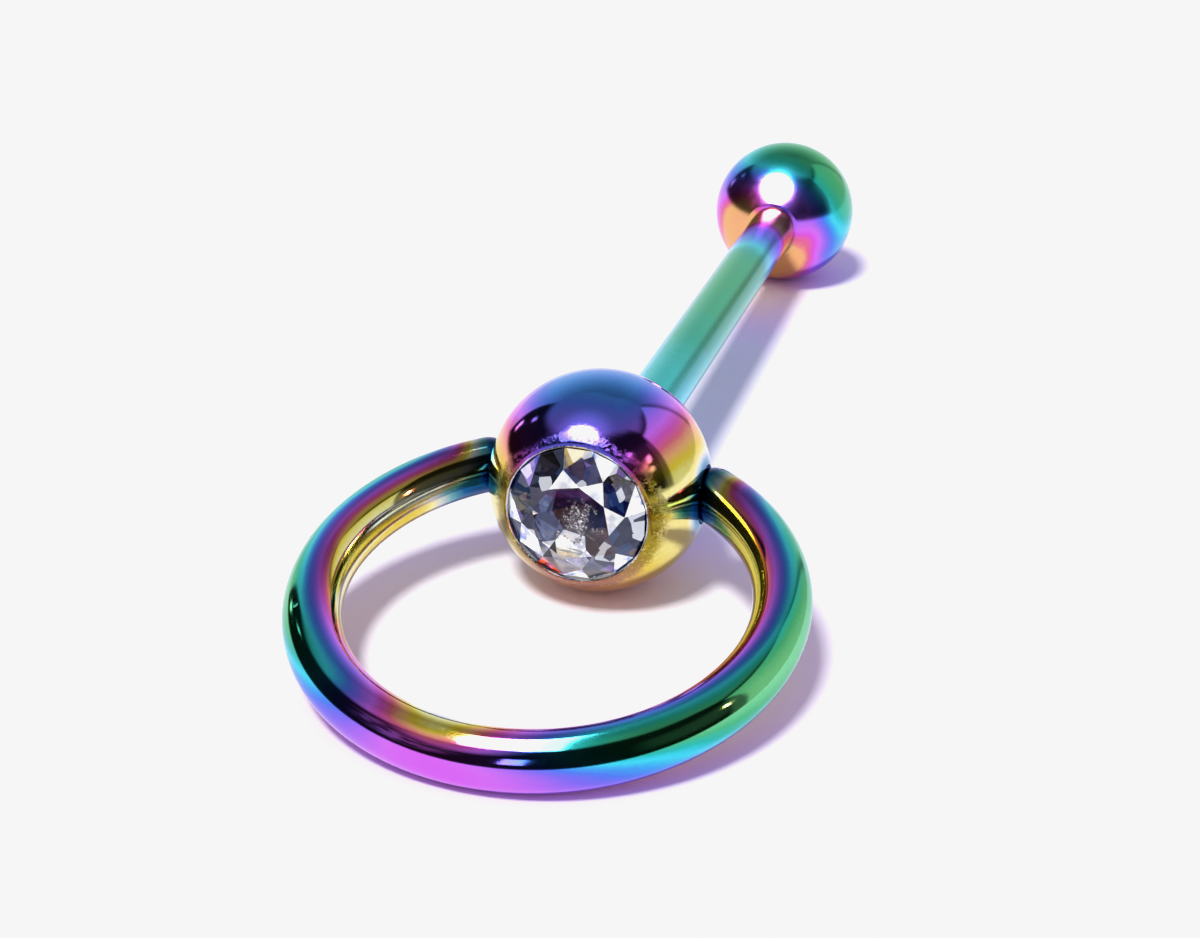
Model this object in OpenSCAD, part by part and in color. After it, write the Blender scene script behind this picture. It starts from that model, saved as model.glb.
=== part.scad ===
/* [Balls] */
// Diameter of the front ball, which holds the stone
gem_ball_d = 6; // [6:0.1:6.4]
// Diameter of the plain ball at the back
plain_ball_d = 5; // [4:0.1:6]
// Diameter of the flat spot where the bar's shoulder meets each ball
spot_d = 1.9; // [1.8:0.1:2.2]

/* [Bar] */
// Diameter of the bar
bar_d = 1.6; // [1.4:0.1:1.7]
// Length of the bar between its two shoulders
bar_len = 20; // [14:1:26]
// Diameter of the stub that enters each ball
stub_d = 1.2; // [0.9:0.1:1.2]
// Length of each stub
stub_len = 2; // [1.2:0.1:2]

/* [Ring] */
// Outer diameter of the captive ring
ring_od = 13.3; // [12.5:0.1:16]
// Diameter of the ring's wire
wire_d = 1.5; // [1.2:0.1:1.6]
// How far the middle of each rounded end stands outside the ball's surface
end_out = 0.15; // [0.1:0.05:0.3]

/* [Stone] */
// Diameter of the stone at its girdle
stone_d = 3.7; // [3.4:0.1:3.8]
// Width of the table across its corners
table_d = 2.1; // [1.7:0.1:2.3]
// Height of the crown, from the girdle to the table
crown_h = 0.6; // [0.45:0.05:0.7]
// Depth of the pavilion, from the girdle to its point
pavilion_h = 1.45; // [1.2:0.05:1.5]
// Thickness of the girdle
girdle_h = 0.06; // [0.04:0.01:0.1]
// Number of main facets around the crown and around the pavilion
mains = 8; // [8:1:10]
// How far the girdle lies below the mouth of its seat
girdle_sink = 0.05; // [0.02:0.01:0.1]
// Width of the flat rim around the mouth
rim_w = 0.045; // [0.03:0.005:0.06]

/* [Fits] */
// Gap between pieces that touch on the real object
gap = 0.03; // [0.02:0.01:0.05]
// Gap around the ring's ends, where they turn in the dimples
dimple_gap = 0.1; // [0.1:0.01:0.12]
// Chamfer on the bar's shoulders and stubs
chamfer = 0.12; // [0.05:0.01:0.15]

/* [Hidden] */
$fn = 96;

gem_r = gem_ball_d / 2;
plain_r = plain_ball_d / 2;
bar_r = bar_d / 2;
stub_r = stub_d / 2;
spot_r = spot_d / 2;
wire_r = wire_d / 2;
stone_r = stone_d / 2;
table_r = table_d / 2;

// Distance of each flat spot from its ball's centre
gem_spot = sqrt(pow(gem_r, 2) - pow(spot_r, 2));
plain_spot = sqrt(pow(plain_r, 2) - pow(spot_r, 2));
hole_depth = stub_len + 4 * gap;

// Both balls rest on the ground, so the bar drops towards the smaller one
ball_span = gem_spot + plain_spot + bar_len + 2 * gap;
bar_drop = asin((gem_r - plain_r) / ball_span);

// The ring turns about the X axis through the front ball's centre
end_x = gem_r + end_out;
ring_r = (ring_od - wire_d) / 2;
ring_reach = sqrt(pow(ring_r, 2) - pow(end_x, 2));
end_angle = atan2(ring_reach, end_x);
ring_tilt = asin((gem_r - wire_r) / (ring_reach + ring_r));

// The stone's seat, whose mouth is cut flat where its bore meets the ball
seat_r = stone_r + gap;
mouth = sqrt(pow(gem_r, 2) - pow(seat_r + rim_w, 2));
girdle_y = mouth - girdle_sink;

// The origin is on the ground, below the middle of the object's box
front_reach = (ring_reach + ring_r) * cos(ring_tilt) + wire_r;
back_reach = ball_span * cos(bar_drop) + plain_r;
gem_y = (front_reach - back_reach) / 2;

// Puts a child whose +Y runs along the bar, from the front ball's centre, in its resting place
module along_bar() translate([0, gem_y, gem_r]) rotate([-bar_drop, 0, 0]) children();

// Turns a child's +Z to +Y, towards the back, and lifts it to a place on the bar's line
module facing_back(y) translate([0, y, 0]) rotate([-90, 0, 0]) children();

// Turns a child's +Z to -Y, towards the front
module facing_front(y) translate([0, -y, 0]) rotate([90, 0, 0]) children();

module chamfered_rod(r, h) {
    translate([0, 0, chamfer]) cylinder(r = r, h = h - 2 * chamfer);
    cylinder(r1 = r - chamfer, r2 = r, h = chamfer);
    translate([0, 0, h - chamfer]) cylinder(r1 = r, r2 = r - chamfer, h = chamfer);
}

module bar() color("mediumaquamarine") along_bar() facing_back(gem_spot + gap) {
    chamfered_rod(bar_r, bar_len);
    translate([0, 0, -stub_len]) chamfered_rod(stub_r, bar_len + 2 * stub_len);
}

// A ball with a flat spot and a blind hole for the bar, on its +Z side
module drilled_ball(r, spot) difference() {
    sphere(r = r);
    translate([0, 0, spot]) cylinder(r = r, h = r);
    translate([0, 0, spot - hole_depth]) cylinder(r = stub_r + gap, h = hole_depth + r);
}

module stone_seat() facing_front(0) {
    translate([0, 0, mouth]) cylinder(r = gem_r, h = gem_r);
    translate([0, 0, girdle_y - girdle_h - gap]) cylinder(r = seat_r, h = gem_r);
    translate([0, 0, girdle_y - girdle_h - pavilion_h - 2 * gap])
        cylinder(r1 = 0, r2 = seat_r, h = pavilion_h + gap);
}

module gem_ball() color("mediumslateblue") along_bar() difference() {
    facing_back(0) drilled_ball(gem_r, gem_spot);
    stone_seat();
    for (side = [-1, 1])
        translate([side * end_x, 0, 0]) sphere(r = wire_r + dimple_gap);
}

// Facets of a round brilliant, from rings of points between the table and the tip
step = 360 / mains;
// Shares of the way from the table to the girdle, and from the tip to the girdle
star_share = 0.45;
lower_share = 0.35;
star_r = table_r + star_share * (stone_r - table_r);
lower_r = lower_share * stone_r;
// Heights at which the main facets, above and below the girdle, come out flat
star_z = crown_h * (stone_r - star_r * cos(step / 2)) / (stone_r - table_r);
lower_z = -girdle_h - pavilion_h * (1 - lower_r * cos(step / 2) / stone_r);
function ring_of(n, r, z, turn = 0) =
    [for (i = [0:n - 1]) [r * cos(i * 360 / n + turn), r * sin(i * 360 / n + turn), z]];
stone_points = concat(
    ring_of(mains, table_r, crown_h),
    ring_of(mains, star_r, star_z, step / 2),
    ring_of(2 * mains, stone_r, 0),
    ring_of(2 * mains, stone_r, -girdle_h),
    ring_of(mains, lower_r, lower_z, step / 2),
    [[0, 0, -girdle_h - pavilion_h]]
);
// Where each ring starts in the list of points
star_at = mains;
top_at = 2 * mains;
low_at = 4 * mains;
lower_at = 6 * mains;
tip_at = 7 * mains;
stone_faces = concat(
    [[for (i = [mains - 1:-1:0]) i]],
    [for (i = [0:mains - 1]) let (next = (i + 1) % mains, last = (i + mains - 1) % mains) each [
        [i, next, star_at + i],
        [i, star_at + i, top_at + 2 * i, star_at + last],
        [star_at + i, top_at + 2 * i + 1, top_at + 2 * i],
        [star_at + i, top_at + 2 * next, top_at + 2 * i + 1],
        [lower_at + i, low_at + 2 * i, low_at + 2 * i + 1],
        [lower_at + i, low_at + 2 * i + 1, low_at + 2 * next],
        [tip_at, lower_at + last, low_at + 2 * i, lower_at + i]
    ]],
    [for (i = [0:2 * mains - 1]) let (next = (i + 1) % (2 * mains))
        [top_at + i, top_at + next, low_at + next, low_at + i]]
);

module stone() color("aliceblue") along_bar() facing_front(girdle_y)
    polyhedron(points = stone_points, faces = stone_faces, convexity = 2);

// The half ball that rounds off one end of the ring's wire, seen from the ring's middle
module ring_end() rotate([0, 0, end_angle]) translate([ring_r, 0, 0]) difference() {
    sphere(r = wire_r);
    translate([-wire_d, -2 * wire_d, -wire_d]) cube(2 * wire_d);
}

module captive_ring() color("mediumorchid")
    translate([0, gem_y, gem_r]) rotate([ring_tilt, 0, 0]) translate([0, -ring_reach, 0]) {
        rotate([0, 0, 180 - end_angle])
            rotate_extrude(angle = 180 + 2 * end_angle) translate([ring_r, 0]) circle(r = wire_r);
        ring_end();
        mirror([1, 0, 0]) ring_end();
    }

module plain_ball() color("mediumturquoise") along_bar() facing_back(ball_span)
    rotate([180, 0, 0]) drilled_ball(plain_r, plain_spot);

bar();
gem_ball();
stone();
captive_ring();
plain_ball();
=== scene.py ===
"""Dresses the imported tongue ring: rainbow-coated balls, bar and ring, and a clear cut stone.

Sizes in the code are millimetres in the bar's own frame, and mesh data goes to Blender in metres.
"""

import math

import bmesh
import bpy
import numpy as np
from mathutils import Matrix, Vector


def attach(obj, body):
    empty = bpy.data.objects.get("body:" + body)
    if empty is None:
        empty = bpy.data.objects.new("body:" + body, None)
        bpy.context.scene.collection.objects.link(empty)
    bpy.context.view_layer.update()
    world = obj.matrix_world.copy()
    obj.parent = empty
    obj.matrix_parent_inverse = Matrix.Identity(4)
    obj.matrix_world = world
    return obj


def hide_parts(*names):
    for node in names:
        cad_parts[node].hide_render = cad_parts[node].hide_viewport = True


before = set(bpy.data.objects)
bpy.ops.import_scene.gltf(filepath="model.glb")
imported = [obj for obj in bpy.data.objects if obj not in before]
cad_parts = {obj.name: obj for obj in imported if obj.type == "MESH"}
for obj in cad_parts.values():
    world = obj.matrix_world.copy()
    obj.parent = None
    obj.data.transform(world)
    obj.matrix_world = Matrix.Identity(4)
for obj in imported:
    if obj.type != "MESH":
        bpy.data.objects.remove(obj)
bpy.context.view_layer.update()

MM = 0.001
# Degrees in a radian, for the angles that nodes work out
DEGREES = 57.29578

# The part's own sizes, as the CAD model has them
GEM_R = 3.0
PLAIN_R = 2.5
SPOT_R = 0.95
BAR_R = 0.8
BAR_LEN = 20.0
STUB_R = 0.6
STUB_LEN = 2.0
CHAMFER = 0.12
RING_OD = 13.3
WIRE_R = 0.75
END_OUT = 0.15
STONE_R = 1.85
TABLE_R = 1.05
CROWN_H = 0.6
PAVILION_H = 1.45
GIRDLE_H = 0.06
GIRDLE_SINK = 0.05
MAINS = 8
RIM_W = 0.045
GAP = 0.03
DIMPLE_GAP = 0.1

# Sizes that follow from those, with the seat's mouth taken to a thousandth
HOLE_R = STUB_R + GAP
HOLE_DEPTH = STUB_LEN + 4 * GAP
DIMPLE_R = WIRE_R + DIMPLE_GAP
SEAT_R = STONE_R + GAP
MOUTH = round(math.sqrt(GEM_R**2 - (SEAT_R + RIM_W) ** 2), 3)
GIRDLE = MOUTH - GIRDLE_SINK
GEM_SPOT = math.sqrt(GEM_R**2 - SPOT_R**2)
PLAIN_SPOT = math.sqrt(PLAIN_R**2 - SPOT_R**2)
BAR_START = GEM_SPOT + GAP
BAR_END = BAR_START + BAR_LEN
PLAIN_AT = BAR_END + GAP + PLAIN_SPOT
RING_R = RING_OD / 2 - WIRE_R
END_X = GEM_R + END_OUT
RING_REACH = math.sqrt(RING_R**2 - END_X**2)
RING_END = math.pi - math.atan2(END_X, RING_REACH)

# Both balls and the ring's front edge rest on the ground
DROP = math.asin((GEM_R - PLAIN_R) / PLAIN_AT)
TILT = math.asin((GEM_R - WIRE_R) / (RING_REACH + RING_R))
FRONT_REACH = (RING_REACH + RING_R) * math.cos(TILT) + WIRE_R
BACK_REACH = PLAIN_AT * math.cos(DROP) + PLAIN_R

# The bar's frame starts at the front ball's centre, with y along the bar towards the plain ball
GEM_C = np.array([0.0, (FRONT_REACH - BACK_REACH) / 2, GEM_R])
BAR_X = np.array([1.0, 0.0, 0.0])
BAR_Y = np.array([0.0, math.cos(DROP), -math.sin(DROP)])
BAR_Z = np.array([0.0, math.sin(DROP), math.cos(DROP)])

# The ring's frame starts at its circle's centre, with u to the right, v to the front and w up
RING_V = np.array([0.0, -math.cos(TILT), -math.sin(TILT)])
RING_W = np.array([0.0, -math.sin(TILT), math.cos(TILT)])
RING_C = GEM_C + RING_REACH * RING_V

# A corner this near to a ball's surface counts as on it
ON_BALL = 0.002
# Points round each turned piece and along its outline
GEM_SIDES, GEM_STEPS = 256, 150
PLAIN_SIDES, PLAIN_STEPS = 224, 130
DIMPLE_SIDES, DIMPLE_STEPS = 96, 49
BAR_SIDES, BAR_STEPS = 96, 40
WIRE_SIDES, WIRE_STEPS = 96, 421


def from_bar(points):
    """Points in the bar's frame, in the row's frame."""
    return GEM_C + points[:, :1] * BAR_X + points[:, 1:2] * BAR_Y + points[:, 2:3] * BAR_Z


def settled(values):
    """The values rounded, with no -0.0 left, so that angles don't hang on the last digits."""
    return np.round(values, 5) + 0.0


def to_bar(points):
    """Points in the row's frame, in the bar's frame."""
    return settled((points - GEM_C) @ np.stack([BAR_X, BAR_Y, BAR_Z], axis=1))


def steps(low, high, count):
    return list(np.linspace(low, high, count))


def smooth(low, high, value):
    """0 below low, 1 above high, and a soft step between them; it falls where low is the larger."""
    t = np.clip((value - low) / (high - low), 0.0, 1.0)
    return t * t * (3 - 2 * t)


def bell(value, middle, width):
    return np.exp(-(((value - middle) / width) ** 2))


def direction(azimuth, elevation):
    """A unit vector; azimuth 0 is the front and 90 the right."""
    a, e = math.radians(azimuth), math.radians(elevation)
    return (math.sin(a) * math.cos(e), -math.cos(a) * math.cos(e), math.sin(e))


# Meshes


class Shell:
    """Collects rows of points and the quads between them."""

    def __init__(self):
        self.points = []
        self.faces = []

    def row(self, points):
        start = len(self.points)
        self.points.extend(tuple(p) for p in points)
        return list(range(start, len(self.points)))

    def join(self, first, second):
        """Faces between two closed rows; a row of one point makes a fan."""
        count = max(len(first), len(second))
        for i in range(count):
            j = (i + 1) % count
            loop = [first[i % len(first)], second[i % len(second)]]
            loop += [second[j % len(second)], first[j % len(first)]]
            face = list(dict.fromkeys(loop))
            if len(face) > 2:
                self.faces.append(face)

    def stack(self, rows):
        made = [self.row(r) for r in rows]
        for first, second in zip(made, made[1:]):
            self.join(first, second)


def turned(profile, count):
    """Rows of points round the y axis for a list of (y, radius)."""
    angles = np.arange(count) * 2 * math.pi / count
    rows = []
    for y, r in profile:
        if r < 1e-6:
            rows.append([(0.0, y, 0.0)])
        else:
            rows.append([(r * math.sin(a), y, r * math.cos(a)) for a in angles])
    return rows


def arc(centre, radius, start, end, count):
    """(y, radius) points on a ball's outline, by angle from its +y pole."""
    return [
        (centre + radius * math.cos(math.radians(a)), radius * math.sin(math.radians(a)))
        for a in steps(start, end, count)
    ]


def new_object(name, points, faces):
    """An object from points in millimetres in the row's frame."""
    mesh = bpy.data.meshes.new(name)
    mesh.from_pydata([tuple(p) for p in np.asarray(points) * MM], [], faces)
    work = bmesh.new()
    work.from_mesh(mesh)
    bmesh.ops.recalc_face_normals(work, faces=work.faces)
    work.to_mesh(mesh)
    work.free()
    obj = bpy.data.objects.new(name, mesh)
    bpy.context.scene.collection.objects.link(obj)
    return obj


def turned_object(name, profile, count, shift=(0.0, 0.0, 0.0)):
    """A solid of revolution about the bar's axis, or about a line beside it."""
    shell = Shell()
    shell.stack(turned(profile, count))
    return new_object(name, from_bar(np.array(shell.points) + np.array(shift)), shell.faces)


def smooth_by_angle(obj, degrees):
    obj.data.shade_smooth()
    obj.data.set_sharp_from_angle(angle=math.radians(degrees))


def points_of(obj):
    """The mesh's points in millimetres."""
    flat = np.empty(len(obj.data.vertices) * 3)
    obj.data.vertices.foreach_get("co", flat)
    return flat.reshape(-1, 3) / MM


def set_field(obj, name, values):
    field = obj.data.attributes.new(name, "FLOAT", "POINT")
    field.data.foreach_set("value", np.asarray(values, dtype=np.float32))


def cut(obj, *cutters):
    """Takes the cutters out of the object and deletes them."""
    for cutter in cutters:
        modifier = obj.modifiers.new("cut", "BOOLEAN")
        modifier.operation = "DIFFERENCE"
        modifier.solver = "EXACT"
        modifier.object = cutter
        graph = bpy.context.evaluated_depsgraph_get()
        mesh = bpy.data.meshes.new_from_object(obj.evaluated_get(graph))
        obj.modifiers.clear()
        obj.data = mesh
        bpy.data.objects.remove(cutter)


def exact_normals(obj, balls):
    """Sets the true normal where a face lies on one of the balls.

    Each ball is its centre, its radius, and 1 for its outside or -1 for its inside.
    """
    mesh = obj.data
    points = points_of(obj)
    normals = np.zeros((len(mesh.loops), 3))
    for polygon in mesh.polygons:
        corners = points[list(polygon.vertices)]
        loops = slice(polygon.loop_start, polygon.loop_start + polygon.loop_total)
        for centre, radius, way in balls:
            if np.all(np.abs(np.linalg.norm(corners - centre, axis=1) - radius) < ON_BALL):
                out = (corners - centre) * way
                normals[loops] = out / np.linalg.norm(out, axis=1, keepdims=True)
                break
    mesh.normals_split_custom_set([tuple(n) for n in normals])


# Camera, as fitted to the outlines in the photograph


def make_camera():
    azimuth = 15.043
    elevation = 25.239
    roll = math.radians(1.335)
    distance = 60.15
    shift_right = -0.007
    shift_up = 0.288
    back = np.array(direction(azimuth, elevation))
    level = np.array(direction(azimuth + 90.0, 0.0))
    upright = np.cross(back, level)
    right = math.cos(roll) * level + math.sin(roll) * upright
    up = math.cos(roll) * upright - math.sin(roll) * level
    place = GEM_C + shift_right * right + shift_up * up + distance * back
    data = bpy.data.cameras.new("camera")
    data.sensor_width = 36.0
    data.lens = 67.24
    data.clip_start = 0.001
    data.clip_end = 10.0
    camera = bpy.data.objects.new("camera", data)
    turn = Matrix([[right[i], up[i], back[i]] for i in range(3)]).to_4x4()
    camera.matrix_world = Matrix.Translation(Vector(place * MM)) @ turn
    bpy.context.scene.collection.objects.link(camera)
    bpy.context.scene.camera = camera


# Node helpers


class Nodes:
    """Short names for adding nodes to a material's or a world's tree."""

    def __init__(self, owner):
        owner.use_nodes = True
        self.tree = owner.node_tree
        self.tree.nodes.clear()

    def add(self, kind, values=None, **settings):
        node = self.tree.nodes.new(kind)
        for name, value in settings.items():
            setattr(node, name, value)
        for name, value in (values or {}).items():
            self.put(node.inputs[name], value)
        return node

    def put(self, socket, value):
        if isinstance(value, bpy.types.NodeSocket):
            self.tree.links.new(value, socket)
        else:
            socket.default_value = value

    def math(self, operation, *values):
        return self.add("ShaderNodeMath", dict(enumerate(values)), operation=operation).outputs[0]

    def plus(self, first, second):
        return self.math("ADD", first, second)

    def minus(self, first, second):
        return self.math("SUBTRACT", first, second)

    def times(self, first, second):
        return self.math("MULTIPLY", first, second)

    def vector(self, operation, first, second, output="Vector"):
        node = self.add("ShaderNodeVectorMath", {0: first, 1: second}, operation=operation)
        return node.outputs[output]

    def soft_step(self, value, low, high, out_low=0.0, out_high=1.0):
        """A soft step from out_low at low to out_high at high; low may be the larger."""
        values = {"Value": value, 1: low, 2: high, 3: out_low, 4: out_high}
        if low > high:
            values = {"Value": value, 1: high, 2: low, 3: out_high, 4: out_low}
        return self.add("ShaderNodeMapRange", values, interpolation_type="SMOOTHSTEP").outputs[0]

    def inside(self, value, low, high, edge):
        """1 between low and high, with soft edges of the given width."""
        rise = self.soft_step(value, low - edge, low + edge)
        fall = self.soft_step(value, high + edge, high - edge)
        return self.times(rise, fall)

    def angle_from(self, where, azimuth, elevation):
        """Degrees between the direction and one given by azimuth and elevation."""
        near = self.vector("DOT_PRODUCT", where, direction(azimuth, elevation), "Value")
        return self.times(self.math("ARCCOSINE", near), DEGREES)

    def place(self, coordinates="Object"):
        return self.add("ShaderNodeTexCoord").outputs[coordinates]

    def bar_place(self):
        """The point's x, y and z in the bar's frame and its distance from the bar's axis, in mm."""
        offset = self.vector("SUBTRACT", self.place(), tuple(GEM_C * MM))
        x, y, z = (
            self.vector("DOT_PRODUCT", offset, tuple(axis / MM), "Value")
            for axis in (BAR_X, BAR_Y, BAR_Z)
        )
        away = self.math("SQRT", self.plus(self.times(x, x), self.times(z, z)))
        return x, y, z, away

    def spot(self, x, y, z=0.0):
        """A vector from three numbers, as a place in a pattern."""
        return self.add("ShaderNodeCombineXYZ", {0: x, 1: y, 2: z}).outputs[0]

    def mix(self, share, first, second, blend="MIX"):
        values = {0: share, 6: first, 7: second}
        node = self.add("ShaderNodeMix", values, data_type="RGBA", blend_type=blend)
        return node.outputs[2]

    def field(self, name, output="Fac"):
        return self.add("ShaderNodeAttribute", attribute_name=name).outputs[output]

    def noise(self, where, scale, detail=2.0, rough=0.5):
        values = {"Vector": where, "Scale": scale, "Detail": detail, "Roughness": rough}
        return self.add("ShaderNodeTexNoise", values).outputs["Fac"]

    def cells(self, where, scale):
        """A cell pattern: the distance from the cell's middle, and the cell's own colour."""
        outputs = self.add("ShaderNodeTexVoronoi", {"Vector": where, "Scale": scale}).outputs
        return outputs["Distance"], outputs["Color"]

    def red(self, colour):
        """A cell's random number, out of its colour."""
        return self.add("ShaderNodeSeparateColor", {0: colour}).outputs[0]

    def ramp(self, value, stops, kind="LINEAR"):
        node = self.add("ShaderNodeValToRGB", {"Fac": value})
        node.color_ramp.interpolation = kind
        marks = node.color_ramp.elements
        while len(marks) > 1:
            marks.remove(marks[-1])
        marks[0].position, marks[0].color = stops[0][0], (*stops[0][1], 1.0)
        for place, colour in stops[1:]:
            marks.new(place).color = (*colour, 1.0)
        return node.outputs["Color"]

    def bump(self, height, distance, **values):
        values = {"Strength": 1.0, "Distance": distance, "Height": height, **values}
        return self.add("ShaderNodeBump", values).outputs[0]

    def finish(self, shader, kind="ShaderNodeOutputMaterial"):
        self.add(kind, {"Surface": shader})


def linear(red, green, blue):
    """Linear light for a display colour of 0 to 255."""
    return tuple(
        c / 12.92 if c <= 0.04045 else ((c + 0.055) / 1.055) ** 2.4
        for c in (red / 255, green / 255, blue / 255)
    )


# Light: a white tent, open and dark at the front, with a lamp above the opening

# Where the roof begins, as (degrees from the front, degrees above the horizon)
ROOF_EDGE = (
    (-180, 54),
    (-125, 38),
    (-107, 37),
    (-80, 43),
    (-55, 50),
    (-25, 57),
    (0, 63),
    (45, 68),
    (76, 64),
    (90, 61),
    (98, 53),
    (129, 52),
    (152, 44),
    (180, 54),
)
# Where the lamp brightens the tent, as (azimuth, elevation)
LAMP_WAY = (-32.0, 67.0)
SPILL_WAY = (-34.0, 54.0)
LOW_SPILL_WAY = (-46.0, 30.0)
# Edges of the walls, in degrees from the back and above the horizon
BACK_WALL = (-57.5, 60.0)
RIGHT_WALL_END = 84.0
RIGHT_WALL_RISE = (-20.0, 51.0)
# How far the seam between the walls leans to the right for each degree that it rises
SEAM_LEAN = 0.22
# Dim surfaces beside the walls, as (low, high, edge) across and in height, and a brightness; the
# strip is measured from the back and the corner from the front
DIM_STRIP = ((80.0, 92.0, 1.5), (-20.0, 45.0, 3.0), 0.16)
DIM_CORNER = ((48.0, 94.0, 9.0), (14.0, 46.0, 9.0), 0.06)
DARK = 0.012
# Small bright openings in the front, as (middle, half width, low, high, brightness, colour)
OPENINGS = (
    (-116.0, 1.3, 9.0, 16.0, 2.5, (1.0, 1.0, 1.0)),
    (-109.0, 1.2, 26.5, 30.5, 2.0, (1.0, 1.0, 1.0)),
    (0.0, 4.5, 17.0, 36.0, 3.2, (0.75, 0.92, 1.0)),
)
# What the cut stone picks up: shares of the room's patches and their colours
PATCHES = (
    (0.20, 250, 251, 253),
    (0.07, 108, 122, 150),
    (0.16, 246, 248, 252),
    (0.06, 24, 32, 74),
    (0.18, 255, 255, 255),
    (0.05, 150, 158, 182),
    (0.03, 240, 206, 120),
    (0.14, 250, 251, 253),
    (0.03, 184, 150, 238),
    (0.08, 236, 240, 248),
)
PATCH_SCALE = 4.0
PATCH_LIGHT = 1.5
# Light from all round, which colours the shadows, and what the camera sees past the floor
FILL = (0.46, 0.39, 0.66, 1.0)
SKY = (0.913, 0.913, 0.913, 1.0)
# Display white is held a little under full, as in the photograph
WHITE = 0.922


def make_roof(n, where, front, rise):
    """The roof, brighter round the lamp, and two spots of light that spill in front of it."""
    turn = n.math("DIVIDE", n.plus(front, 180.0), 360.0)
    edge = n.ramp(turn, [((a + 180) / 360, (e / 90, e / 90, e / 90)) for a, e in ROOF_EDGE])
    above = n.minus(rise, n.times(edge, 90.0))
    brightness = n.soft_step(n.angle_from(where, *LAMP_WAY), 34.0, 8.0, 0.32, 0.85)
    roof = n.times(n.soft_step(above, -2.0, 8.0), brightness)
    spill = n.soft_step(n.angle_from(where, *SPILL_WAY), 22.0, 8.0, 0.0, 0.45)
    low_spill = n.soft_step(n.angle_from(where, *LOW_SPILL_WAY), 26.0, 8.0, 0.0, 0.34)
    ragged = n.soft_step(n.noise(where, 7.0, 3.0, 0.6), 0.42, 0.62, 0.12, 0.8)
    return [roof, spill, n.times(low_spill, ragged)]


def make_walls(n, side, rise):
    """The back and right walls, which meet in a dark seam."""
    lean = n.minus(side, n.times(rise, SEAM_LEAN))
    back = n.soft_step(rise, 58.0, 6.0, 0.22, 0.88)
    back = n.times(back, n.inside(side, *BACK_WALL, 1.2))
    back = n.times(back, n.soft_step(lean, 20.5, 14.5, 0.3, 1.0))
    right = n.soft_step(side, RIGHT_WALL_END + 1.2, RIGHT_WALL_END - 1.2)
    right = n.times(right, n.inside(rise, *RIGHT_WALL_RISE, 1.5))
    right = n.times(right, n.soft_step(lean, 18.5, 23.0, 0.0, 0.72))
    return n.math("MAXIMUM", back, right)


def make_room(n, where):
    """The tent's brightness by direction."""
    x, y, z = n.add("ShaderNodeSeparateXYZ", {0: where}).outputs
    # Degrees from the back and from the front, both growing to the right, and above the horizon
    side = n.times(n.math("ARCTAN2", x, y), DEGREES)
    front = n.times(n.math("ARCTAN2", x, n.times(y, -1.0)), DEGREES)
    rise = n.times(n.math("ARCSINE", z), DEGREES)

    parts = make_roof(n, where, front, rise)
    walls = make_walls(n, side, rise)
    for across, (width, height, light) in ((side, DIM_STRIP), (front, DIM_CORNER)):
        patch = n.times(n.inside(across, *width), n.inside(rise, *height))
        parts.append(n.times(patch, light))
    floor_glow = n.soft_step(rise, 3.5, 0.0, 0.0, 0.9)
    parts.append(floor_glow)

    room = n.plus(walls, DARK)
    for part in parts:
        room = n.math("MAXIMUM", room, part)
    glow = n.add("ShaderNodeCombineColor", {0: room, 1: room, 2: room}).outputs[0]
    for middle, half, low, high, power, colour in OPENINGS:
        across = n.inside(front, middle - half, middle + half, 0.6)
        patch = n.times(across, n.inside(rise, low, high, 0.8))
        glow = n.mix(patch, glow, (*(power * c for c in colour), 1.0))
    return glow


def make_world():
    world = bpy.data.worlds.new("tent")
    bpy.context.scene.world = world
    n = Nodes(world)
    ray = n.add("ShaderNodeLightPath").outputs
    where = n.place("Generated")
    glow = make_room(n, where)

    # The stone sees the room in patches, so that each facet takes one of them
    _, cell = n.cells(where, PATCH_SCALE)
    stops = []
    start = 0.0
    for share, red, green, blue in PATCHES:
        stops.append((start, tuple(PATCH_LIGHT * c for c in linear(red, green, blue))))
        start += share
    sparkle = n.ramp(n.red(cell), stops, "CONSTANT")

    colour = n.mix(ray["Is Glossy Ray"], FILL, glow)
    colour = n.mix(ray["Is Transmission Ray"], colour, sparkle)
    colour = n.mix(ray["Is Camera Ray"], colour, SKY)
    n.finish(n.add("ShaderNodeBackground", {"Color": colour}).outputs[0], "ShaderNodeOutputWorld")


# The lamp, as each piece mirrors it, from a flat card above the front ball: its name, piece and
# shape, its size and place from the ball's centre, its turn and its brightness
CARDS = (
    ("lamp_gem", "gem_ball", "ELLIPSE", (27.0, 15.0), (-12.5, -20.0, 54.0), -7.0, 16.0),
    ("lamp_gem_low", "gem_ball", "RECTANGLE", (22.0, 9.0), (-9.5, -26.5, 54.0), -22.0, 16.0),
    ("lamp_bar", "bar", "RECTANGLE", (32.0, 17.0), (-13.0, -20.5, 54.0), -4.0, 12.0),
    ("lamp_ring_left", "captive_ring", "RECTANGLE", (6.0, 48.0), (-14.4, -11.5, 54.0), -5.0, 14.0),
    ("lamp_ring_right", "captive_ring", "RECTANGLE", (10.0, 50.0), (-5.0, -11.5, 54.0), 17.0, 14.0),
    ("lamp_ring_near", "captive_ring", "RECTANGLE", (16.0, 17.0), (-8.5, -27.0, 54.0), 0.0, 10.0),
    ("lamp_ring_middle", "captive_ring", "RECTANGLE", (8.0, 20.0), (-10.5, -9.0, 54.0), 5.0, 10.0),
    ("lamp_plain", "plain_ball", "ELLIPSE", (66.0, 92.0), (-13.0, -29.0, 54.0), -4.0, 30.0),
)
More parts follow.
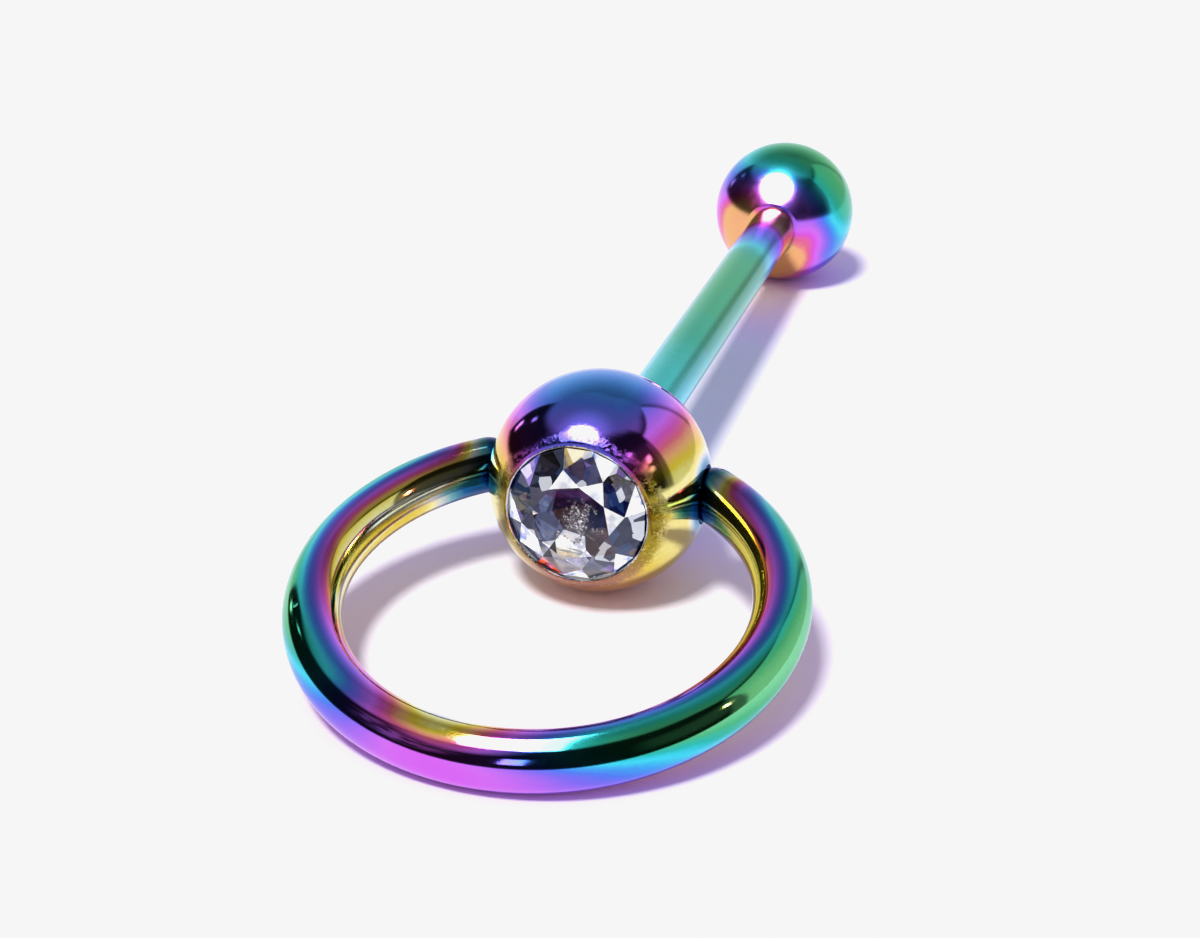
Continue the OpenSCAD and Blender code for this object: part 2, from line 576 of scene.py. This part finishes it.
# Small far lamps at the right: the piece that shows each, its (azimuth, elevation), its width and
# height in degrees, its brightness and its colour
GLINTS = (
    ("gem_ball", (54.5, 44.0), (1.8, 3.0), 14.0, (1.0, 0.9, 0.9)),
    ("gem_ball", (68.0, 28.5), (2.0, 2.4), 14.0, (1.0, 0.9, 0.9)),
    ("gem_ball", (78.8, 33.5), (1.4, 6.0), 12.0, (1.0, 0.9, 0.9)),
    ("gem_ball", (76.8, 24.8), (1.6, 2.6), 12.0, (1.0, 0.9, 0.9)),
    ("captive_ring", (86.0, 33.5), (1.6, 8.0), 40.0, (1.0, 0.26, 0.18)),
)
GLINT_FAR = 300.0


def make_lights(pieces):
    key = bpy.data.lights.new("key", "SUN")
    key.energy = 2.9
    key.color = (1.0, 0.97, 1.0)
    key.angle = math.radians(12.0)
    aimed(key, direction(-13.0, 60.5)).visible_glossy = False
    for name, piece, shape, size, place, turn, power in CARDS:
        card = make_panel(name, size, power, (0.0, 0.0, 1.0))
        card.data.shape = shape
        card.rotation_quaternion = Matrix.Rotation(math.radians(turn), 4, "Z").to_quaternion()
        card.location = Vector(GEM_C + np.array(place)) * MM
        shown_in(card, pieces[piece])
    for piece, way, size, power, colour in GLINTS:
        towards = np.array(direction(*way))
        glint = make_panel("glint", GLINT_FAR * np.radians(size), power, towards)
        glint.data.color = colour
        glint.location = Vector(GEM_C + towards * GLINT_FAR) * MM
        shown_in(glint, pieces[piece])


def aimed(light, towards):
    """A light's object that shines against the given direction."""
    obj = bpy.data.objects.new(light.name, light)
    obj.rotation_mode = "QUATERNION"
    obj.rotation_quaternion = Vector(towards).to_track_quat("Z", "Y")
    bpy.context.scene.collection.objects.link(obj)
    return obj


def make_panel(name, size, power, towards):
    """A flat oval lamp of a given brightness, whatever its width and height."""
    width, height = size[0] * MM, size[1] * MM
    panel = bpy.data.lights.new(name, "AREA")
    panel.shape = "ELLIPSE"
    panel.size, panel.size_y = width, height
    panel.energy = power * math.pi * width * height
    return aimed(panel, towards)


def shown_in(light, piece):
    """Lets a light show only as a reflection in the given piece."""
    light.visible_camera = False
    light.visible_diffuse = False
    light.visible_transmission = False
    light.visible_shadow = False
    lit = bpy.data.collections.new(light.name + "_piece")
    lit.objects.link(piece)
    light.light_linking.receiver_collection = lit


def make_floor():
    """A pale floor of 4 metres, 0.01 mm under the ground so that no piece touches it."""
    half = 2.0
    points = [(-half, -half, 0), (half, -half, 0), (half, half, 0), (-half, half, 0)]
    mesh = bpy.data.meshes.new("floor")
    mesh.from_pydata(points, [], [[0, 1, 2, 3]])
    floor = bpy.data.objects.new("floor", mesh)
    floor.location.z = -0.01 * MM
    bpy.context.scene.collection.objects.link(floor)
    material = bpy.data.materials.new("pale_floor")
    n = Nodes(material)
    shader = n.add("ShaderNodeBsdfDiffuse", {"Color": (0.9, 0.9, 0.9, 1.0), "Roughness": 0.0})
    n.finish(shader.outputs[0])
    mesh.materials.append(material)


def set_view():
    """Shows colours as they are, with everything brighter than WHITE held at it."""
    view = bpy.context.scene.view_settings
    view.view_transform = "Standard"
    view.look = "None"
    view.use_curve_mapping = True
    for curve in view.curve_mapping.curves:
        curve.points[0].location = (0.0, 0.0)
        curve.points[1].location = (WHITE, WHITE)
        for point in curve.points:
            point.handle_type = "VECTOR"
    view.curve_mapping.extend = "HORIZONTAL"
    view.curve_mapping.clip_max_x = 1.0
    view.curve_mapping.update()


# Materials; a pattern's scale is per metre, and per millimetre where its place is the bar's

# Colours of the coating as it grows thicker, as (thickness, red, green, blue) seen in full light
FILM = (
    (-0.35, 10, 12, 56),
    (-0.25, 14, 40, 116),
    (-0.16, 24, 98, 152),
    (-0.08, 100, 170, 178),
    (0.00, 210, 218, 214),
    (0.05, 240, 238, 160),
    (0.10, 222, 200, 52),
    (0.15, 232, 174, 118),
    (0.21, 220, 106, 130),
    (0.27, 212, 88, 196),
    (0.33, 204, 112, 250),
    (0.38, 168, 110, 248),
    (0.43, 124, 110, 246),
    (0.48, 82, 124, 238),
    (0.53, 66, 165, 240),
    (0.58, 66, 216, 232),
    (0.64, 44, 186, 162),
    (0.70, 76, 184, 120),
    (0.78, 126, 216, 145),
    (0.90, 190, 240, 150),
)
FILM_LOW, FILM_HIGH = FILM[0][0], FILM[-1][0]
# What painted shade and the rim's specks multiply the coating's colour by, at their fullest
DARKENING = (0.3, 0.3, 0.3, 1.0)
BARE_STEEL = (0.72, 0.73, 0.74, 1.0)


def rim_wear(n):
    """The burnished rim round the stone: its specks, their height and the bare edge."""
    x, y, z, away = n.bar_place()
    # Radians from the top
    turn = n.math("ARCTAN2", x, z)
    ahead = n.soft_step(y, -1.2, -1.6)
    reach = n.minus(away, n.soft_step(n.math("ABSOLUTE", turn), 0.6, 1.5, 0.0, 0.16))
    share = n.times(n.soft_step(reach, 2.3, 1.95), ahead)
    # Fine specks that thin out away from the edge
    fine = n.noise(n.spot(x, z), 13.0, 4.0, 0.75)
    coarse = n.noise(n.spot(x, z), 3.5, 3.0, 0.6)
    mixed = n.plus(n.times(fine, 0.65), n.times(coarse, 0.35))
    level = n.plus(mixed, n.times(share, 0.14))
    specks = n.times(n.soft_step(level, 0.5, 0.62), share)
    # Fine scratches round the stone, and the edge that dips into its seat
    along = n.noise(n.spot(n.times(turn, 2.0), n.times(away, 34.0)), 1.0, 4.0, 0.7)
    near = n.times(n.soft_step(away, 2.8, 2.1), ahead)
    dish = n.times(n.soft_step(away, SEAT_R, 2.02, -1.0, 0.0), ahead)
    height = n.plus(dish, n.times(specks, 0.05))
    lines = n.plus(n.times(along, 0.03), n.times(fine, 0.012))
    height = n.plus(height, n.times(lines, near))
    edge = n.plus(away, n.times(n.minus(fine, 0.5), 0.12))
    bare = n.times(n.soft_step(edge, 1.93, 1.91), ahead)
    return specks, height, bare


def film_material(name, seed, haze, rim):
    """Polished steel with a rainbow oxide coating, whose thickness is the mesh's film field."""
    material = bpy.data.materials.new(name)
    n = Nodes(material)
    shifted = n.vector("ADD", n.place(), (seed, seed * 0.7, -seed))
    # A field that the mesh doesn't have reads as 0
    film, wear, painted_shade_and_specks = n.field("film"), n.field("wear"), n.field("painted_shade_and_specks")

    drift = n.minus(n.noise(shifted, 420.0, 2.0), 0.5)
    grain = n.minus(n.noise(shifted, 9000.0, 2.0, 0.6), 0.5)
    uneven = n.plus(n.times(drift, 0.05), n.times(grain, 0.03))
    thickness = n.plus(film, uneven)

    fine = n.noise(shifted, 26000.0, 3.0, 0.65)
    smear = n.noise(shifted, 1500.0, 3.0, 0.6)
    rough = n.plus(n.times(smear, 0.08), 0.035 + haze)

    # A few tiny pits where the wear field is high
    distance, cell = n.cells(shifted, 1500.0)
    chosen = n.times(n.soft_step(n.red(cell), 0.55, 0.6), wear)
    pit = n.times(n.soft_step(distance, 0.16, 0.04), chosen)
    height = n.minus(n.times(fine, 0.018), n.times(pit, 1.5))
    bump = n.bump(height, 0.02 * MM)

    if rim:
        specks, rim_height, bare = rim_wear(n)
        thickness = n.plus(thickness, n.times(specks, 0.03))
        rough = n.plus(rough, n.times(specks, 0.07))
        bump = n.bump(rim_height, 0.08 * MM, Normal=bump)
        painted_shade_and_specks = n.math("MAXIMUM", painted_shade_and_specks, n.times(specks, 0.8))

    span = FILM_HIGH - FILM_LOW
    place = n.math("DIVIDE", n.minus(thickness, FILM_LOW), span)
    stops = [((t - FILM_LOW) / span, linear(r, g, b)) for t, r, g, b in FILM]
    colour = n.ramp(place, stops)
    # Darker where painted shade is, near the ring's ends and in a painted dark stripe on the bar,
    # and on the rim's specks
    colour = n.mix(painted_shade_and_specks, colour, n.mix(1.0, colour, DARKENING, "MULTIPLY"))
    if rim:
        colour = n.mix(bare, colour, BARE_STEEL)

    values = {"Base Color": colour, "Metallic": 1.0, "Roughness": rough, "Normal": bump}
    n.finish(n.add("ShaderNodeBsdfPrincipled", values).outputs[0])
    return material


GLASS_IOR = 1.6
# Painted light that small panes inside the stone add to the flashes' glow, by their random number
PAINTED_PANES = (
    (0.0, (0.0, 0.0, 0.0)),
    (0.18, (0.01, 0.03, 0.09)),
    (0.34, (0.0, 0.0, 0.0)),
    (0.46, (0.03, 0.035, 0.06)),
    (0.58, (0.0, 0.0, 0.0)),
    (0.70, (0.70, 0.72, 0.78)),
    (0.77, (0.0, 0.0, 0.0)),
    (0.88, (0.12, 0.07, 0.05)),
    (0.94, (0.18, 0.11, 0.36)),
)
PANE_SCALE = 3.1


def crystal_material():
    """Clear crystal, with a painted flash that glows inside some of the crown's facets."""
    material = bpy.data.materials.new("crystal")
    n = Nodes(material)
    painted_flash = n.add("ShaderNodeAttribute", attribute_name="painted_flash").outputs
    values = {"Base Color": (0.97, 0.98, 1.0, 1.0), "Roughness": 0.0, "IOR": GLASS_IOR}
    values["Transmission Weight"] = 1.0
    clear = n.add("ShaderNodeBsdfPrincipled", values).outputs[0]
    # The painted flashes are uneven, and painted blue where they fade out towards the girdle
    x, _, z, away = n.bar_place()
    cloud = n.noise(n.spot(x, z), 2.2, 2.0, 0.6)
    light = n.soft_step(cloud, 0.3, 0.65, 0.74, 1.14)
    blue = n.times(n.soft_step(cloud, 0.5, 0.4), n.soft_step(away, 1.0, 1.7, 0.1, 0.8))
    blued = n.mix(1.0, painted_flash["Color"], (0.1, 0.2, 1.0, 1.0), "MULTIPLY")
    colour = n.mix(blue, painted_flash["Color"], blued)
    colour = n.mix(1.0, colour, light, "MULTIPLY")
    # Painted light from small panes of the back, as the crown's facets break them up
    _, cell = n.cells(n.spot(x, z), PANE_SCALE)
    colour = n.mix(1.0, colour, n.ramp(n.red(cell), PAINTED_PANES, "CONSTANT"), "ADD")
    # The flash is painted light: a black surface that glows in the facet's colour
    values = {"Base Color": (0.0, 0.0, 0.0, 1.0), "Roughness": 0.0, "IOR": GLASS_IOR}
    values["Emission Color"] = colour
    values["Emission Strength"] = 1.0
    flash = n.add("ShaderNodeBsdfPrincipled", values).outputs[0]
    n.finish(n.add("ShaderNodeMixShader", {0: painted_flash["Alpha"], 1: clear, 2: flash}).outputs[0])
    return material


# The middle of the foil's grainy patch, as (to the right, up, 0) from the bar's axis
FOIL_PATCH = (-0.06, -0.4, 0.0)
CRUMBS = ((0.38, (0.03, 0.03, 0.04)), (0.52, (0.16, 0.14, 0.14)), (0.64, (0.9, 0.9, 0.92)))
STAINS = ((0.35, (0.45, 0.45, 0.5)), (0.5, (0.85, 0.85, 0.85)), (0.65, (1.0, 0.86, 0.74)))


def foil_material():
    """The silvered back of the stone, with a grainy, bubbled patch below its tip."""
    material = bpy.data.materials.new("silver_foil")
    n = Nodes(material)
    where = n.place()
    x, _, z, _ = n.bar_place()
    from_patch = n.vector("DISTANCE", n.spot(x, z), FOIL_PATCH, "Value")
    ragged = n.minus(n.noise(where, 3400.0, 3.0, 0.7), 0.5)
    patch = n.soft_step(n.plus(from_patch, n.times(ragged, 1.5)), 0.46, 0.3)
    coarse = n.noise(where, 5200.0, 4.0, 0.7)
    lumps, _ = n.cells(where, 7000.0)
    height = n.times(n.plus(coarse, n.times(lumps, 0.6)), patch)
    stain = n.ramp(n.noise(where, 1800.0, 4.0, 0.7), STAINS)
    painted_flash = n.mix(1.0, n.field("painted_flash", "Color"), stain, "MULTIPLY")
    painted_flash = n.mix(patch, painted_flash, n.ramp(n.noise(where, 15000.0, 3.0, 0.7), CRUMBS))
    values = {"Base Color": painted_flash, "Metallic": 0.85, "Roughness": n.times(patch, 0.1)}
    # The foil glows in its colour, the facets' painted flashes and the patch's crumbs, as painted
    # light
    values["Emission Color"] = painted_flash
    values["Emission Strength"] = 0.42
    values["Normal"] = n.bump(height, 0.06 * MM)
    n.finish(n.add("ShaderNodeBsdfPrincipled", values).outputs[0])
    return material


# Front ball

# The lip of the stone's seat, as (depth below the mouth, distance out from the seat's wall)
SEAT_LIP = ((0.05, 0.0), (0.012, 0.003), (0.002, 0.012), (0.0, 0.03))
# A point of the seat's cone, deeper than a straight cone's, to clear the stone's fuller back
SEAT_BULGE = (-GIRDLE + GIRDLE_H + 0.72, 1.12)
# How much a hole's edge is eased
EASE = 0.05


def bore(spot, way):
    """(y, radius) points of a ball's hole, from the flat spot at y = spot inwards."""
    return [
        (spot, HOLE_R + EASE),
        (spot + way * EASE, HOLE_R),
        (spot + way * HOLE_DEPTH, HOLE_R),
        (spot + way * HOLE_DEPTH, 0.0),
    ]


def gem_film(points):
    """Blue on top through violet and gold to the sides, and thinnest round the dimples."""
    x, y, z = points.T
    turn = np.abs(np.degrees(np.arctan2(x, z)) + 3.0)
    polar = np.degrees(np.arccos(np.clip(-y / np.linalg.norm(points, axis=1), -1, 1)))
    film = 0.065 + 0.445 * (1 - smooth(18.0, 74.0, turn)) + 0.08 * smooth(105.0, 165.0, turn)
    film = film - 0.09 * smooth(80.0, 46.0, polar) * (1 - smooth(20.0, 60.0, turn))
    sides = [np.array([way * GEM_R, 0.0, 0.0]) for way in (-1, 1)]
    apart = np.minimum(*(np.linalg.norm(points - side, axis=1) for side in sides))
    film = film - 0.24 * smooth(1.35, 0.7, apart)
    # Even towards the bar
    return film + smooth(112.0, 165.0, polar) * (0.56 - film)


def make_gem_ball():
    """The front ball, with the stone's seat, the bar's hole and two dimples."""
    mouth_angle = math.degrees(math.acos(MOUTH / GEM_R))
    spot_angle = math.degrees(math.asin(SPOT_R / GEM_R))
    cone = GIRDLE - GIRDLE_H - PAVILION_H - 2 * GAP
    seat = [(-cone, 0.0), SEAT_BULGE, (-cone - PAVILION_H - GAP, SEAT_R)]
    seat += [(-MOUTH + depth, SEAT_R + out) for depth, out in SEAT_LIP]
    outline = arc(0.0, GEM_R, 180.0 - mouth_angle, spot_angle, GEM_STEPS)
    ball = turned_object("gem_ball_shell", seat + outline + bore(GEM_SPOT, -1), GEM_SIDES)

    balls = [(GEM_C, GEM_R, 1)]
    dimple = arc(0.0, DIMPLE_R, 180.0, 0.0, DIMPLE_STEPS)
    cutters = []
    for way in (-1, 1):
        middle = way * END_X * BAR_X
        cutters.append(turned_object("dimple", dimple, DIMPLE_SIDES, middle))
        balls.append((GEM_C + middle, DIMPLE_R, -1))
    cut(ball, *cutters)
    smooth_by_angle(ball, 25.0)
    exact_normals(ball, balls)
    set_field(ball, "film", gem_film(to_bar(points_of(ball))))
    return ball


# Plain ball

# Its film by degrees round the bar from the top, growing to the right
PLAIN_FILM = (
    (-180, 0.22),
    (-150, 0.21),
    (-120, 0.25),
    (-100, 0.30),
    (-80, 0.34),
    (-66, 0.42),
    (-45, 0.53),
    (-31, 0.60),
    (-10, 0.66),
    (18, 0.69),
    (50, 0.71),
    (80, 0.68),
    (94, 0.60),
    (104, 0.55),
    (120, 0.51),
    (132, 0.43),
    (155, 0.30),
    (180, 0.22),
)
THINNEST = 0.14


def plain_film(points):
    """The plain ball's film, thinner towards the bar; points are from its own centre."""
    x, y, z = points.T
    film = np.interp(np.degrees(np.arctan2(x, z)), *zip(*PLAIN_FILM))
    thinner = film - 0.33 * smooth(1.0, 0.5, np.hypot(x, z) / PLAIN_R) * (y < 0)
    return np.maximum(thinner, np.minimum(film, THINNEST))


def make_plain_ball():
    spot_angle = math.degrees(math.asin(SPOT_R / PLAIN_R))
    outline = arc(PLAIN_AT, PLAIN_R, 180.0 - spot_angle, 0.0, PLAIN_STEPS)
    hole = bore(PLAIN_AT - PLAIN_SPOT, 1)
    ball = turned_object("plain_ball_shell", hole[::-1] + outline, PLAIN_SIDES)
    smooth_by_angle(ball, 25.0)
    exact_normals(ball, [(GEM_C + PLAIN_AT * BAR_Y, PLAIN_R, 1)])
    set_field(ball, "film", plain_film(to_bar(points_of(ball)) - [0.0, PLAIN_AT, 0.0]))
    return ball


# Bar

# The thread on its stubs
THREAD_PITCH = 0.35
THREAD_DEPTH = 0.07
THREAD_START = 0.02
THREAD_FADE = 0.2
THREAD_STEPS = 84
# How much thinner its film grows towards the plain ball, as distances from that end and amounts
BAR_THINNING = ((0.0, 1.5, 1.9, 2.4, 3.4, 5.2), (0.58, 0.56, 0.43, 0.28, 0.17, 0.0))


def stub_rows(face, way):
    """Rows of a threaded stub, from the bar's shoulder at y = face outwards."""
    angles = np.arange(BAR_SIDES) * 2 * math.pi / BAR_SIDES
    rows = []
    for depth in steps(THREAD_START, STUB_LEN - CHAMFER, THREAD_STEPS):
        phase = (depth / THREAD_PITCH + way * angles / (2 * math.pi)) % 1.0
        fade = min(1.0, (depth - THREAD_START) / THREAD_FADE)
        radius = STUB_R - fade * THREAD_DEPTH * np.abs(2 * phase - 1) ** 0.8
        y = face + way * depth
        rows.append([(r * math.sin(a), y, r * math.cos(a)) for r, a in zip(radius, angles)])
    # The bevelled tip
    tip = face + way * STUB_LEN
    end = [(tip - way * 0.05, STUB_R - 0.09), (tip, STUB_R - CHAMFER), (tip, 0.0)]
    return rows + turned(end, BAR_SIDES)


def bar_film(points):
    """Teal, thinner towards the front ball and running through blue to gold at the plain ball."""
    x, y, z = points.T
    along = (y - BAR_START) / BAR_LEN
    film = 0.655 - 0.085 * smooth(0.6, 0.0, along) - np.interp(BAR_END - y, *BAR_THINNING)
    return film + 0.02 * np.cos(np.arctan2(x, z) - 0.5)


def make_bar():
    bends = np.radians(steps(90.0, 0.0, 7))
    shoulder = [(CHAMFER * (1 - math.sin(b)), BAR_R - CHAMFER * (1 - math.cos(b))) for b in bends]
    profile = [(BAR_START, STUB_R)]
    profile += [(BAR_START + y, r) for y, r in shoulder]
    profile += [(y, BAR_R) for y in steps(BAR_START + 0.5, BAR_END - 0.5, BAR_STEPS)]
    profile += [(BAR_END - y, r) for y, r in reversed(shoulder)]
    profile += [(BAR_END, STUB_R)]
    rows = stub_rows(BAR_START, -1)[::-1] + turned(profile, BAR_SIDES) + stub_rows(BAR_END, 1)
    shell = Shell()
    shell.stack(rows)
    bar = new_object("bar_rod", from_bar(np.array(shell.points)), shell.faces)
    smooth_by_angle(bar, 35.0)
    points = to_bar(points_of(bar))
    around = np.degrees(np.arctan2(points[:, 0], points[:, 2]))
    set_field(bar, "film", bar_film(points))
    # A painted dark stripe along the bar, standing in for the reflection of the seam between the
    # walls
    set_field(bar, "painted_shade_and_specks", 0.5 * bell(around, 62.0, 20.0))
    return bar


# Captive ring


def ring_row(phi, radius=WIRE_R, push=0.0):
    """A row round the wire at angle phi, drawn in to radius and pushed along the wire."""
    out = math.sin(phi) * BAR_X + math.cos(phi) * RING_V
    ahead = math.cos(phi) * BAR_X - math.sin(phi) * RING_V
    middle = RING_C + RING_R * out + push * ahead
    angles = np.arange(WIRE_SIDES) * 2 * math.pi / WIRE_SIDES
    return [middle + radius * (math.cos(a) * out + math.sin(a) * RING_W) for a in angles]


def end_rows(way):
    """Rows of the half ball that rounds off one end of the wire, from its base to its tip."""
    bends = np.radians(steps(6.0, 90.0, 15))
    rows = [
        ring_row(way * RING_END, WIRE_R * math.cos(b), way * WIRE_R * math.sin(b)) for b in bends
    ]
    rows[-1] = rows[-1][:1]
    return rows


def ring_film(phi, psi):
    """The ring's film by degrees round the ring from its front and round its wire from outside."""
    turn = np.abs(phi)
    # Thick on the upper outer side and thinner towards the inside, more so towards the ends
    level = 0.36 - 0.22 * smooth(45.0, 110.0, turn) - 0.05 * smooth(110.0, 145.0, turn)
    right = bell(phi, 70.0, 38.0)
    swing = 0.37 + 0.17 * smooth(45.0, 95.0, turn) - 0.25 * smooth(125.0, 149.0, turn)
    swing = swing + 0.04 * right + 0.09 * bell(phi, -125.0, 24.0)
    crest = 40.0 - 17.0 * bell(phi, -88.0, 42.0) * smooth(20.0, 60.0, psi) - 14.0 * right
    sides = level + swing * np.cos(np.radians(psi - crest))
    sides = np.maximum(sides, 0.03 + 0.065 * smooth(150.0, 115.0, psi))
    # The front, where the coating is magenta outside, gold on top and pale inside
    across = psi + 14.0 * smooth(-12.0, -30.0, phi)
    front = 0.31 - 0.23 * smooth(42.0, 84.0, across) - 0.10 * smooth(95.0, 130.0, psi)
    low = smooth(40.0, 5.0, psi)
    width = 34.0 - 12.0 * smooth(25.0, 80.0, psi) - 3.0 * smooth(95.0, 130.0, psi) + 12.0 * low
    film = sides + bell(phi, -9.0 + 3.0 * low, width) * (front - sides)
    # The ends, thinnest of all, from further off on the inside
    inner = smooth(-95.0, -135.0, psi) + smooth(150.0, 176.0, psi)
    close = smooth(136.0 - 14.0 * inner, 151.0 - 8.0 * inner, turn)
    return film + close * (-0.2 - film) - 0.02 * np.maximum(turn - 147.7, 0.0)


def make_ring():
    body = [ring_row(phi) for phi in steps(-RING_END, RING_END, WIRE_STEPS)]
    shell = Shell()
    shell.stack(end_rows(-1)[::-1] + body + end_rows(1))
    ring = new_object("captive_ring_wire", shell.points, shell.faces)
    ring.data.shade_smooth()

    local = points_of(ring) - RING_C
    u, v, w = local @ BAR_X, local @ RING_V, settled(local @ RING_W)
    phi = np.degrees(np.arctan2(u, v))
    psi = np.degrees(np.arctan2(w, np.hypot(u, v) - RING_R))
    set_field(ring, "film", ring_film(phi, psi))
    # Painted shade on top near the ends, which also dims the lamp's reflection there
    set_field(ring, "painted_shade_and_specks", 0.75 * bell(np.abs(phi), 141.0, 14.0) * smooth(20.0, 60.0, psi))
    set_field(ring, "wear", bell(phi, -78.0, 16.0) * bell(psi, 55.0, 45.0))
    return ring


# Stone

STONE_TURN = math.radians(-11.0)
HALF_STEP = math.pi / MAINS
# Shares of the way from the table to the girdle, and from the tip to the girdle
STAR_SHARE = 0.45
LOWER_SHARE = 0.6
INNER_SHARE = 0.42
# The facets' painted flash colours, a glow that stands in for light thrown back, as display colours
PAINTED_FLASH_COLOURS = {
    "white": (252, 253, 255),
    "steel": (88, 100, 130),
    "slate": (26, 44, 72),
    "dusk": (22, 24, 40),
    "navy": (10, 18, 66),
    "ink": (3, 4, 8),
    "mauve": (72, 60, 84),
    "brown": (66, 44, 42),
    "gold": (200, 172, 76),
    "violet": (178, 150, 236),
    "orange": (255, 84, 32),
}
# Painted flashes in the facets round the crown, each turn starting a little below the right and
# going up: star, main, and the two upper halves, each with how strongly it flashes
CROWN_FLASHES = (
    ("white", 0.9, "slate", 0.85, "slate", 0.8, "white", 0.95),
    ("white", 0.88, "navy", 0.8, "ink", 0.8, "white", 0.85),
    ("white", 0.9, "mauve", 0.7, "gold", 0.7, "ink", 0.97),
    ("dusk", 0.7, "dusk", 0.8, "violet", 0.7, "slate", 0.85),
    ("dusk", 0.75, "slate", 0.75, "white", 0.9, "steel", 0.6),
    ("dusk", 0.4, "white", 0.94, "navy", 0.9, "orange", 0.9),
    ("steel", 0.1, "mauve", 0.7, "white", 0.95, "dusk", 0.8),
    ("brown", 0.6, "slate", 0.75, "white", 0.9, "slate", 0.9),
)
# Painted flashes on the back's facets, which glow: the two lower halves, and the outer and
# inner part of the main
BACK_FLASHES = (
    ("ink", "white", "dusk", "slate"),
    ("navy", "white", "white", "dusk"),
    ("gold", "ink", "steel", "mauve"),
    ("steel", "navy", "brown", "slate"),
    ("white", "brown", "steel", "dusk"),
    ("white", "ink", "steel", "brown"),
    ("white", "white", "white", "mauve"),
    ("steel", "ink", "brown", "slate"),
)


def stone_ring(count, radius, height, turn=0.0):
    """Corners of one level of the stone; height is above the girdle's top, towards the front."""
    angles = [2 * math.pi * i / count + turn + STONE_TURN for i in range(count)]
    return [(radius * math.cos(a), -GIRDLE - height, radius * math.sin(a)) for a in angles]


def back_ring(share):
    """Corners on the back's main facets, at a share of the way from the tip to the girdle."""
    depth = PAVILION_H * (1 - share * math.cos(HALF_STEP))
    return stone_ring(MAINS, share * STONE_R, -GIRDLE_H - depth, HALF_STEP)


def stone_points():
    """The table, stars, girdle's two edges, lower halves, inner mains and tip, in that order."""
    star_r = TABLE_R + STAR_SHARE * (STONE_R - TABLE_R)
    star_z = CROWN_H * (STONE_R - star_r * math.cos(HALF_STEP)) / (STONE_R - TABLE_R)
    points = stone_ring(MAINS, TABLE_R, CROWN_H)
    points += stone_ring(MAINS, star_r, star_z, HALF_STEP)
    points += stone_ring(2 * MAINS, STONE_R, 0.0)
    points += stone_ring(2 * MAINS, STONE_R, -GIRDLE_H)
    points += back_ring(LOWER_SHARE) + back_ring(INNER_SHARE)
    return points + [(0.0, -GIRDLE + GIRDLE_H + PAVILION_H, 0.0)]


def stone_faces():
    """The crown's facets, the girdle's, and the back's."""
    star, top, low, lower, inner, tip = (share * MAINS for share in (1, 2, 4, 6, 7, 8))
    crown = [list(range(MAINS))]
    girdle = []
    back = []
    for i in range(MAINS):
        after, before = (i + 1) % MAINS, (i - 1) % MAINS
        crown.append([i, after, star + i])
        crown.append([i, star + i, top + 2 * i, star + before])
        crown.append([star + i, top + 2 * i + 1, top + 2 * i])
        crown.append([star + i, top + 2 * after, top + 2 * i + 1])
        back.append([lower + i, low + 2 * i, low + 2 * i + 1])
        back.append([lower + i, low + 2 * i + 1, low + 2 * after])
        back.append([inner + before, lower + before, low + 2 * i, lower + i, inner + i])
        back.append([tip, inner + before, inner + i])
    for i in range(2 * MAINS):
        after = (i + 1) % (2 * MAINS)
        girdle.append([top + i, top + after, low + after, low + i])
    return crown, girdle, back


def facet_flashes():
    """Each facet's painted flash colour and how strongly it flashes, in the order of the faces."""
    painted_flashes = [("white", 0.0)]
    for row in CROWN_FLASHES:
        painted_flashes += list(zip(row[::2], row[1::2]))
    # The girdle's facets get a dark painted flash
    painted_flashes += [("dusk", 1.0)] * 2 * MAINS
    for row in BACK_FLASHES:
        painted_flashes += [(name, 1.0) for name in row]
    return [(*linear(*PAINTED_FLASH_COLOURS[name]), share) for name, share in painted_flashes]


def make_stone():
    """A round brilliant whose girdle and back are silvered."""
    crown, girdle, back = stone_faces()
    points = from_bar(np.array(stone_points()))
    stone = new_object("crystal_stone", points, crown + girdle + back)
    mesh = stone.data
    mesh.materials.append(crystal_material())
    mesh.materials.append(foil_material())
    # Each facet's painted flash colour, which the crystal and the foil glow with
    field = mesh.attributes.new("painted_flash", "FLOAT_COLOR", "FACE")
    field.data.foreach_set("color", np.array(facet_flashes(), dtype=np.float32).ravel())
    for polygon in mesh.polygons[len(crown) :]:
        polygon.material_index = 1
    return stone


# Each coated piece by its node: how it is made, its body and slot, its pattern's seed, its haze
# and whether it has the stone's rim
COATS = {
    "gem_ball": (make_gem_ball, "barbell", "gem_ball_coating", 0.013, 0.0, True),
    "plain_ball": (make_plain_ball, "back_ball", "plain_ball_coating", 0.029, 0.08, False),
    "bar": (make_bar, "barbell", "bar_coating", 0.041, 0.13, False),
    "captive_ring": (make_ring, "ring", "ring_coating", 0.057, 0.0, False),
}

make_camera()
make_world()
make_floor()
set_view()

pieces = {}
for node, (make, body, slot, seed, haze, rim) in COATS.items():
    piece = make()
    piece.data.materials.append(film_material(slot, seed, haze, rim))
    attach(piece, body)
    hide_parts(node)
    pieces[node] = piece
stone = make_stone()
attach(stone, "barbell")
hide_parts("stone")
make_lights(pieces)
